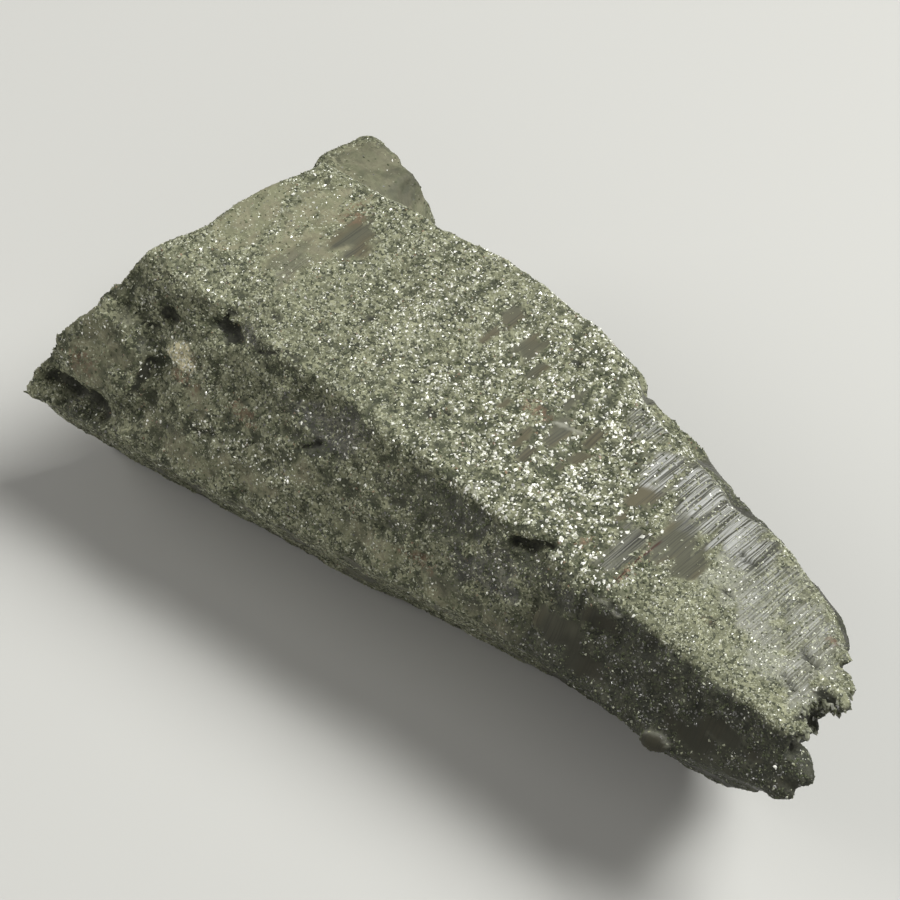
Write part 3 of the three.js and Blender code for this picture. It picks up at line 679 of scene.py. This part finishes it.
def coated_quartz():
    nodes = Nodes("coated_quartz")
    at = nodes.places()
    lines = growth_lines(nodes)
    thin_crust = nodes.value("MULTIPLY", nodes.mask("lined"), 0.9)
    clean = nodes.value("MAXIMUM", nodes.mask("bare"), thin_crust)
    colour = nodes.mix(clean, crust_colour(nodes, at), quartz_colour(nodes, lines))
    rough = nodes.add(
        "MapRange", Value=nodes.mask("lined"), To_Min=CRUST_ROUGHNESS, To_Max=LINED_ROUGHNESS
    )
    return nodes.surface(
        Base_Color=stained(nodes, at, colour),
        Roughness=rough,
        IOR=QUARTZ_REFRACTION,
        Specular_IOR_Level=CRUST_SPECULAR,
        Normal=bumped(nodes, at, lines),
    )


skin.materials.append(coated_quartz())
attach(crystal, "root")
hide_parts("quartz_crystal")

# ---- Grains of the crust ----
# The chlorite skin is a crowd of tiny flakes, and small quartz grains grew among them.
# Each grain is an eight-sided crystal about a fifth of a millimetre across, and its flat
# faces make the crust glitter.

GRAIN_FLATNESS = 0.6
GRAIN_TILT, GRAIN_TURN = 0.32, 0.7
GRAIN_SINK = 0.02
GRAIN_LENGTH = 1.25
GRAIN_ARMS = (0.45, 1.4)  # how far the corners of a grain reach, as a share of its size
GRAIN_SKEW = 1.6  # above 1, small grains outnumber large ones
LINE_DIRECTION = (1.0, 0.0, 0.0)
GRAINS_PER_MM2 = 40.0
DEEP_TINT, LIGHT_TINT, TINT_SIZE = 0.68, 1.32, 0.3
# Name, smallest and largest size in mm, colour, roughness, refraction, seed.
GRAIN_KINDS = (
    ("grains_olive", 0.13, 0.34, (0.212, 0.219, 0.140, 1), 0.38, 1.50, 11),
    ("grains_green", 0.13, 0.34, (0.072, 0.082, 0.044, 1), 0.55, 1.35, 12),
    ("grains_silver", 0.13, 0.34, (0.368, 0.378, 0.284, 1), 0.24, 1.65, 13),
    ("grains_white", 0.12, 0.36, (0.780, 0.780, 0.710, 1), 0.14, 1.8, 15),
    ("grains_rusty", 0.12, 0.29, (0.190, 0.135, 0.085, 1), 0.40, 1.50, 14),
    ("grains_grey", 0.12, 0.30, (0.160, 0.158, 0.146, 1), 0.24, 1.65, 16),
)
# How the kinds share each part of the crystal, in the order above. The mixtures for the dark front,
# between the clumps and in shaded places lean to dark grains, partly as painted shade; the one for the
# tops leans to bright grains, partly as painted highlights.
MIXTURES = {
    "upper": (0.40, 0.11, 0.44, 0.02, 0.02, 0.01),
    "coarse": (0.18, 0.30, 0.23, 0.27, 0.01, 0.01),
    "fine": (0.42, 0.04, 0.53, 0.01, 0.00, 0.00),
    "sides": (0.50, 0.20, 0.22, 0.01, 0.02, 0.05),
    "grey": (0.14, 0.30, 0.10, 0.06, 0.00, 0.40),
    "dark": (0.04, 0.85, 0.00, 0.00, 0.00, 0.11),
    "gap_and_shade": (0.22, 0.68, 0.04, 0.00, 0.02, 0.04),
    "top": (0.13, 0.03, 0.46, 0.36, 0.02, 0.00),
    "shade": (0.10, 0.66, 0.02, 0.02, 0.00, 0.20),
    "silvery": (0.14, 0.14, 0.65, 0.07, 0.00, 0.00),
    "threads": (0.03, 0.13, 0.10, 0.00, 0.00, 0.74),
    "rusty": (0.25, 0.10, 0.15, 0.00, 0.50, 0.00),
    "pale": (0.10, 0.00, 0.40, 0.50, 0.00, 0.00),
}

# Bright grains crowd the tops of the clumps in the coarse crust, a painted highlight on the high
# places, and lie thinner along its back edge as painted light. Grey threads cross the dark part of the
# front.
TOP_HEIGHT = (0.15, 0.9)
BACK_STRIP, BACK_STRIP_BEGINS = (0, 5), (-14, -10)
THREAD_WIDTH = (0.22, 0.08)
threads = dark * smooth_step(*THREAD_WIDTH, np.abs(lumps(skin_places, *GREY_THREADS)))
drifts = lumps(skin_places, *BRIGHT_DRIFTS)
top = crusted * smooth_step(*TOP_HEIGHT, clumps + drifts) * (1 - front) * (0.05 + 0.95 * coarse)
painted_back_light = 0.4 * crusted * upper * smooth_step(*BACK_STRIP, y)
painted_back_light = painted_back_light * smooth_step(*BACK_STRIP_BEGINS, x) * (1 - fine)
top = np.maximum(0.8 * top, ovals(BRIGHT_GRAINS_AND_HIGHLIGHTS, 1.6 * ragged))
top = np.maximum(top, painted_back_light)
top = np.maximum(top, 0.5 * ovals(LIGHT_GRAINS_AND_PAINTED_LIGHT, 1.6 * ragged))


def blend(mixture, zone, share):
    """Turns the mixture of grains towards that of a zone, where its share is high."""
    return mixture + share[:, None] * (np.array(MIXTURES[zone]) - mixture)


mixture = np.ones((len(skin_places), 1)) * MIXTURES["upper"]
for zone, share in (
    ("coarse", coarse), ("fine", fine), ("sides", 1 - upper), ("grey", grey), ("dark", dark),
    ("gap_and_shade", gap_and_shade), ("shade", 0.8 * shade), ("threads", threads), ("silvery", silvery), ("top", top),
    ("rusty", np.maximum(rusty, red)), ("pale", pale),
):
    mixture = blend(mixture, zone, share)

# Grains are larger in the coarse crust. Clean, lined, soft and hollow parts have few of them,
# and the sole, on which the crystal lies, has none.
SOLE = (0.05, 0.3)
grain_size = 0.78 + 0.26 * coarse - 0.13 * fine + 0.02 * front - 0.1 * front * soft
coated = (1 - 0.985 * bare) * (1 - 0.75 * lined) * (1 - 0.9 * hollow) * (1 - 0.65 * soft)
coated = coated * (1 - 0.4 * gap_and_shade)
coated *= (1 - 0.9 * side_crystal) * (1 - 0.5 * dark * (1 - threads))
coated *= smooth_step(*SOLE, z) * (1 - 0.5 * hidden)
thickness = GRAINS_PER_MM2 * coated / grain_size ** 2


def grain_shape():
    """An eight-sided grain one unit across."""
    bm = bmesh.new()
    bmesh.ops.create_uvsphere(bm, u_segments=4, v_segments=2, radius=0.5)
    bm.verts.ensure_lookup_table()
    corners = np.array([vert.co for vert in bm.verts])
    faces = np.array([[vert.index for vert in face.verts] for face in bm.faces])
    bm.free()
    return corners, faces


def unit(vectors):
    return vectors / np.linalg.norm(vectors, axis=-1, keepdims=True)


def sow(thickness, random):
    """Places on the skin at so many to a square millimetre, how it faces there and the size."""
    skin.calc_loop_triangles()
    corners = read(skin.loop_triangles, "vertices", 3).astype(int)
    ends = skin_places[corners]
    turned = np.cross(ends[:, 1] - ends[:, 0], ends[:, 2] - ends[:, 0])
    due = np.linalg.norm(turned, axis=1) / 2 * thickness[corners].mean(axis=1)
    count = round(due.sum())
    chosen = random.choice(len(corners), count, p=due / due.sum())
    parts = random.dirichlet((1, 1, 1), count)
    sizes = grain_size[corners].mean(axis=1)
    return (ends[chosen] * parts[:, :, None]).sum(axis=1), unit(turned[chosen]), sizes[chosen]


def grains(name, smallest, largest, thickness, seed):
    """One mesh of many grains, laid on the skin at random."""
    random = np.random.default_rng(seed)
    corners, faces = grain_shape()
    at, facing, swell = sow(thickness, random)
    count = len(at)
    size = (smallest + (largest - smallest) * random.uniform(0, 1, count) ** GRAIN_SKEW) * swell
    up = unit(facing + GRAIN_TILT * random.normal(size=(count, 3)))
    along = unit(np.cross(facing, LINE_DIRECTION) + GRAIN_TURN * random.normal(size=(count, 3)))
    side = unit(np.cross(along, up))
    axes = np.stack([side, np.cross(up, side), up], axis=1)
    arms = random.uniform(*GRAIN_ARMS, (count, len(corners), 1))
    local = corners[None] * arms * (1.0, GRAIN_LENGTH, GRAIN_FLATNESS)
    placed = np.einsum("gvk,gkj->gvj", local, axes) * size[:, None, None]
    placed += (at - GRAIN_SINK * facing)[:, None, :]
    placed = (np.clip(placed.reshape(-1, 3), low, high) - AXIS) * MM
    offsets = np.arange(count)[:, None, None] * len(corners)
    mesh = bpy.data.meshes.new(name)
    mesh.from_pydata(placed, [], (faces[None] + offsets).reshape(-1, 3))
    return bpy.data.objects.new(name, mesh)


def tinted(colour, share):
    """A darker or a lighter colour."""
    return (*(share * part for part in colour[:3]), 1)


def grain_look(name, colour, roughness, refraction):
    """Flat glossy faces, a little darker on some grains and lighter on others."""
    nodes = Nodes(name)
    tints = nodes.ramp(nodes.clouds(nodes.places(), TINT_SIZE), 0.35, 0.65, 0, 1)
    varied = nodes.mix(tints, tinted(colour, DEEP_TINT), tinted(colour, LIGHT_TINT))
    return nodes.surface(Base_Color=varied, Roughness=roughness, IOR=refraction)


# Each kind is cut into three pieces, so that none grows too large.
SEEDS_APART = 10
faces_front = smooth_step(0.05, -0.05, skin_facing[:, 1])
thirds = {
    "top": upper,
    "front": (1 - upper) * faces_front,
    "back": (1 - upper) * (1 - faces_front),
}
for kind, (name, smallest, largest, colour, roughness, refraction, seed) in enumerate(GRAIN_KINDS):
    look = grain_look(name, colour, roughness, refraction)
    for third, (place, share) in enumerate(thirds.items()):
        sown = thickness * mixture[:, kind] * share
        piece = grains(f"{name}_{place}", smallest, largest, sown, seed + SEEDS_APART * third)
        bpy.context.collection.objects.link(piece)
        piece.data.materials.append(look)
        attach(piece, "root")

# ---- Points at the tip ----
# Small quartz points crowd the ragged tip. Each is a six-sided prism with a six-sided end,
# and grew out of the crystal when the first tip had broken off and began to heal.

POINTS_WITHIN = (29.0, -2.2, 16.2, 2.0, 2.6, 1.8)  # middle and half widths, in mm
POINTS_LOOK_OUT = (0.1, 0.7)
POINT_DIRECTION = np.array((0.75, -0.45, -0.45))
POINT_COUNT = 130
POINT_SEED = 17
POINT_RADIUS = (0.07, 0.20)
POINT_HEIGHT = (-0.15, 0.20)  # above the skin
POINT_ROOT = 0.5  # under the skin
POINT_CAP = 1.3  # the height of the six-sided end, as a share of the radius
POINT_SCATTER = 0.45
POINT_ROUGHNESS = 0.2
POINT_OLIVE = (0.050, 0.055, 0.030, 1)
POINT_PALE = (0.260, 0.268, 0.195, 1)


def add_point(bm, seat, random):
    """Adds one point that stands on a corner of the skin."""
    radius = random.uniform(*POINT_RADIUS) * MM
    shank = (random.uniform(*POINT_HEIGHT) + POINT_ROOT) * MM
    scatter = POINT_SCATTER * random.normal(size=3)
    leaning = Vector(skin_facing[seat] + POINT_DIRECTION + scatter).normalized()
    foot = Vector((skin_places[seat] - AXIS) * MM)
    middle = foot + leaning * (shank / 2 - POINT_ROOT * MM)
    place = Matrix.Translation(middle) @ leaning.to_track_quat("Z", "Y").to_matrix().to_4x4()
    prism = bmesh.ops.create_cone(
        bm, segments=6, radius1=radius, radius2=radius, depth=shank, cap_ends=True, matrix=place
    )
    faces = {face for vert in prism["verts"] for face in vert.link_faces}
    end = max(faces, key=lambda face: face.calc_center_median().dot(leaning))
    peak = bmesh.ops.poke(bm, faces=[end])["verts"]
    bmesh.ops.translate(bm, verts=peak, vec=leaning * (radius * POINT_CAP))


def quartz_points():
    """One mesh of many points, grown where the skin of the tip faces outwards."""
    random = np.random.default_rng(POINT_SEED)
    outwards = skin_facing @ (POINT_DIRECTION / np.linalg.norm(POINT_DIRECTION))
    likely = smooth_step(*POINTS_LOOK_OUT, outwards) * ovals([POINTS_WITHIN])
    share = likely / likely.sum()
    bm = bmesh.new()
    for seat in random.choice(len(skin_places), POINT_COUNT, replace=False, p=share):
        add_point(bm, seat, random)
    for vert in bm.verts:
        vert.co = Vector(np.clip(vert.co, *cad_box))
    mesh = bpy.data.meshes.new("quartz_points")
    bm.to_mesh(mesh)
    bm.free()
    return bpy.data.objects.new("quartz_points", mesh)


def cloudy_quartz():
    nodes = Nodes("cloudy_quartz")
    wisps = nodes.ramp(nodes.clouds(nodes.places(), 0.5, 3.0), 0.35, 0.65, 0, 1)
    cloudy = nodes.mix(wisps, POINT_OLIVE, POINT_PALE)
    return nodes.surface(Base_Color=cloudy, Roughness=POINT_ROUGHNESS, IOR=QUARTZ_REFRACTION)


points = quartz_points()
bpy.context.collection.objects.link(points)
points.data.materials.append(cloudy_quartz())
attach(points, "root")

# ---- Floor, lamps and camera ----
# A wide sheet of pale paper lies flat under the crystal. The main lamp stands high up on the
# right, a weaker and wider one on the left, and the weakest near the camera.

FLOOR_HALF = 1.2
FLOOR_PAPER = (0.50, 0.50, 0.48, 1)
FLOOR_ROUGHNESS = 0.9
ROOM_COLOUR, ROOM_LIGHT = (1.0, 0.99, 0.97, 1), 0.10
CAMERA_AZIMUTH, CAMERA_ELEVATION = 43.6, 50.0
CAMERA_DISTANCE, CAMERA_NEAREST = 0.300, 0.01
CAMERA_LENS, CAMERA_SENSOR = 180.2, 36.0
CAMERA_TARGET = (np.array((-4.707, -0.107, 12.0)) - AXIS) * MM

bm = bmesh.new()
bmesh.ops.create_grid(bm, x_segments=1, y_segments=1, size=FLOOR_HALF)
floor_mesh = bpy.data.meshes.new("floor")
bm.to_mesh(floor_mesh)
bm.free()
floor = bpy.data.objects.new("floor", floor_mesh)
bpy.context.collection.objects.link(floor)
floor_mesh.materials.append(Nodes("paper").surface(Base_Color=FLOOR_PAPER, Roughness=FLOOR_ROUGHNESS))


def lamp(name, direction, distance, size, watts, tint):
    """A soft square lamp that looks at the crystal from a direction."""
    data = bpy.data.lights.new(name, "AREA")
    data.size = size
    data.energy = watts
    data.color = tint
    holder = bpy.data.objects.new(name, data)
    towards = Vector(direction).normalized()
    holder.location = towards * distance
    holder.rotation_euler = towards.to_track_quat("Z", "Y").to_euler()
    bpy.context.collection.objects.link(holder)


lamp("key", (0.35, 0.45, 0.82), distance=0.60, size=0.26, watts=4.9, tint=(1.0, 1.0, 0.98))
lamp("fill_left", (-0.9, -0.5, 0.6), distance=0.8, size=0.5, watts=2.9, tint=(1.0, 0.98, 0.95))
lamp("fill_front", (0.7, -0.9, 0.7), distance=0.8, size=0.5, watts=0.8, tint=(1.0, 0.99, 0.97))

world = bpy.data.worlds.new("studio")
world.use_nodes = True
world.node_tree.nodes["Background"].inputs["Color"].default_value = ROOM_COLOUR
world.node_tree.nodes["Background"].inputs["Strength"].default_value = ROOM_LIGHT
bpy.context.scene.world = world
bpy.context.scene.view_settings.view_transform = "Standard"

azimuth, elevation = math.radians(CAMERA_AZIMUTH), math.radians(CAMERA_ELEVATION)
looking = Vector((
    -math.sin(azimuth) * math.cos(elevation),
    math.cos(azimuth) * math.cos(elevation),
    -math.sin(elevation),
))
camera_data = bpy.data.cameras.new("camera")
camera_data.lens = CAMERA_LENS
camera_data.sensor_width = CAMERA_SENSOR
camera_data.clip_start = CAMERA_NEAREST
camera = bpy.data.objects.new("camera", camera_data)
camera.location = Vector(CAMERA_TARGET) - looking * CAMERA_DISTANCE
camera.rotation_euler = looking.to_track_quat("-Z", "Y").to_euler()
bpy.context.collection.objects.link(camera)
bpy.context.scene.camera = camera
